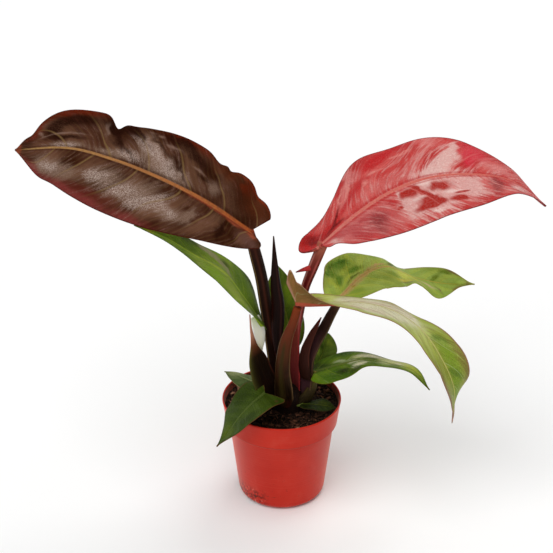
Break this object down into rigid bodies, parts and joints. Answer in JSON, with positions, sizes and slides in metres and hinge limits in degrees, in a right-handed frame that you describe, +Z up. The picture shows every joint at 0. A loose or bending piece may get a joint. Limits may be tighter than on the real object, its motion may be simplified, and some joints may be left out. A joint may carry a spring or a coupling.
{
  "type": "potted philodendron",
  "caption": "House plant with broad bronze, red and green leaves on upright stalks, growing from a round plastic nursery pot filled with peat.",
  "frame": {"origin": "the middle of the pot's flat underside", "axes": "+Z up; the plant is seen from the side of -Y, with the bronze leaf on the -X side and the red leaf on the +X side"},
  "size_m": [0.4996, 0.1658, 0.4061],
  "materials": {
    "pot_plastic": "terracotta-red nursery plastic, slightly glossy, with fine lines round it",
    "peat": "dark loose peat with brown fibres and chips",
    "crown_stem": "dark brown stem tissue",
    "leaf_light_green": "smooth light yellow-green leaf with a waxy sheen",
    "leaf_green": "smooth mid-green leaf with a waxy sheen",
    "leaf_dark_green": "smooth dark green leaf",
    "leaf_grey_green": "dull grey-green leaf",
    "leaf_bronze": "glossy dark bronze leaf with a copper midrib and a greyish sheen",
    "leaf_red": "very glossy scarlet young leaf with pale reflections",
    "leaf_rolled": "glossy, nearly black purple",
    "stalk_brown": "glossy olive-brown with pale margins",
    "stalk_crimson": "glossy crimson with a greenish groove",
    "stalk_purple": "glossy dark purple-brown with a paler groove",
    "stalk_olive": "glossy olive-yellow",
    "stalk_cream": "glossy cream-white",
    "scale_olive": "olive-brown sheath with a dry reddish tip"
  },
  "bodies": {
    "root": {"pot": "pot_plastic", "soil": "peat", "crown": "crown_stem", "arching_leaf_blade": "leaf_light_green", "arching_leaf_stalk": "stalk_brown", "red_leaf_blade": "leaf_red", "red_leaf_stalk": "stalk_crimson", "bronze_leaf_blade": "leaf_bronze", "bronze_leaf_stalk": "stalk_purple", "new_leaf_spike": "leaf_rolled", "wavy_leaf_blade": "leaf_green", "wavy_leaf_stalk": "stalk_olive", "twisted_leaf_blade": "leaf_light_green", "twisted_leaf_stalk": "stalk_purple", "sheath_scale": "scale_olive", "lance_leaf_blade": "leaf_green", "lance_leaf_stalk": "stalk_cream", "rim_leaf": "leaf_dark_green", "low_leaf": "leaf_dark_green", "left_leaf": "leaf_grey_green", "back_leaf": "leaf_green", "short_leaf": "leaf_green"}
  },
  "joints": []
}
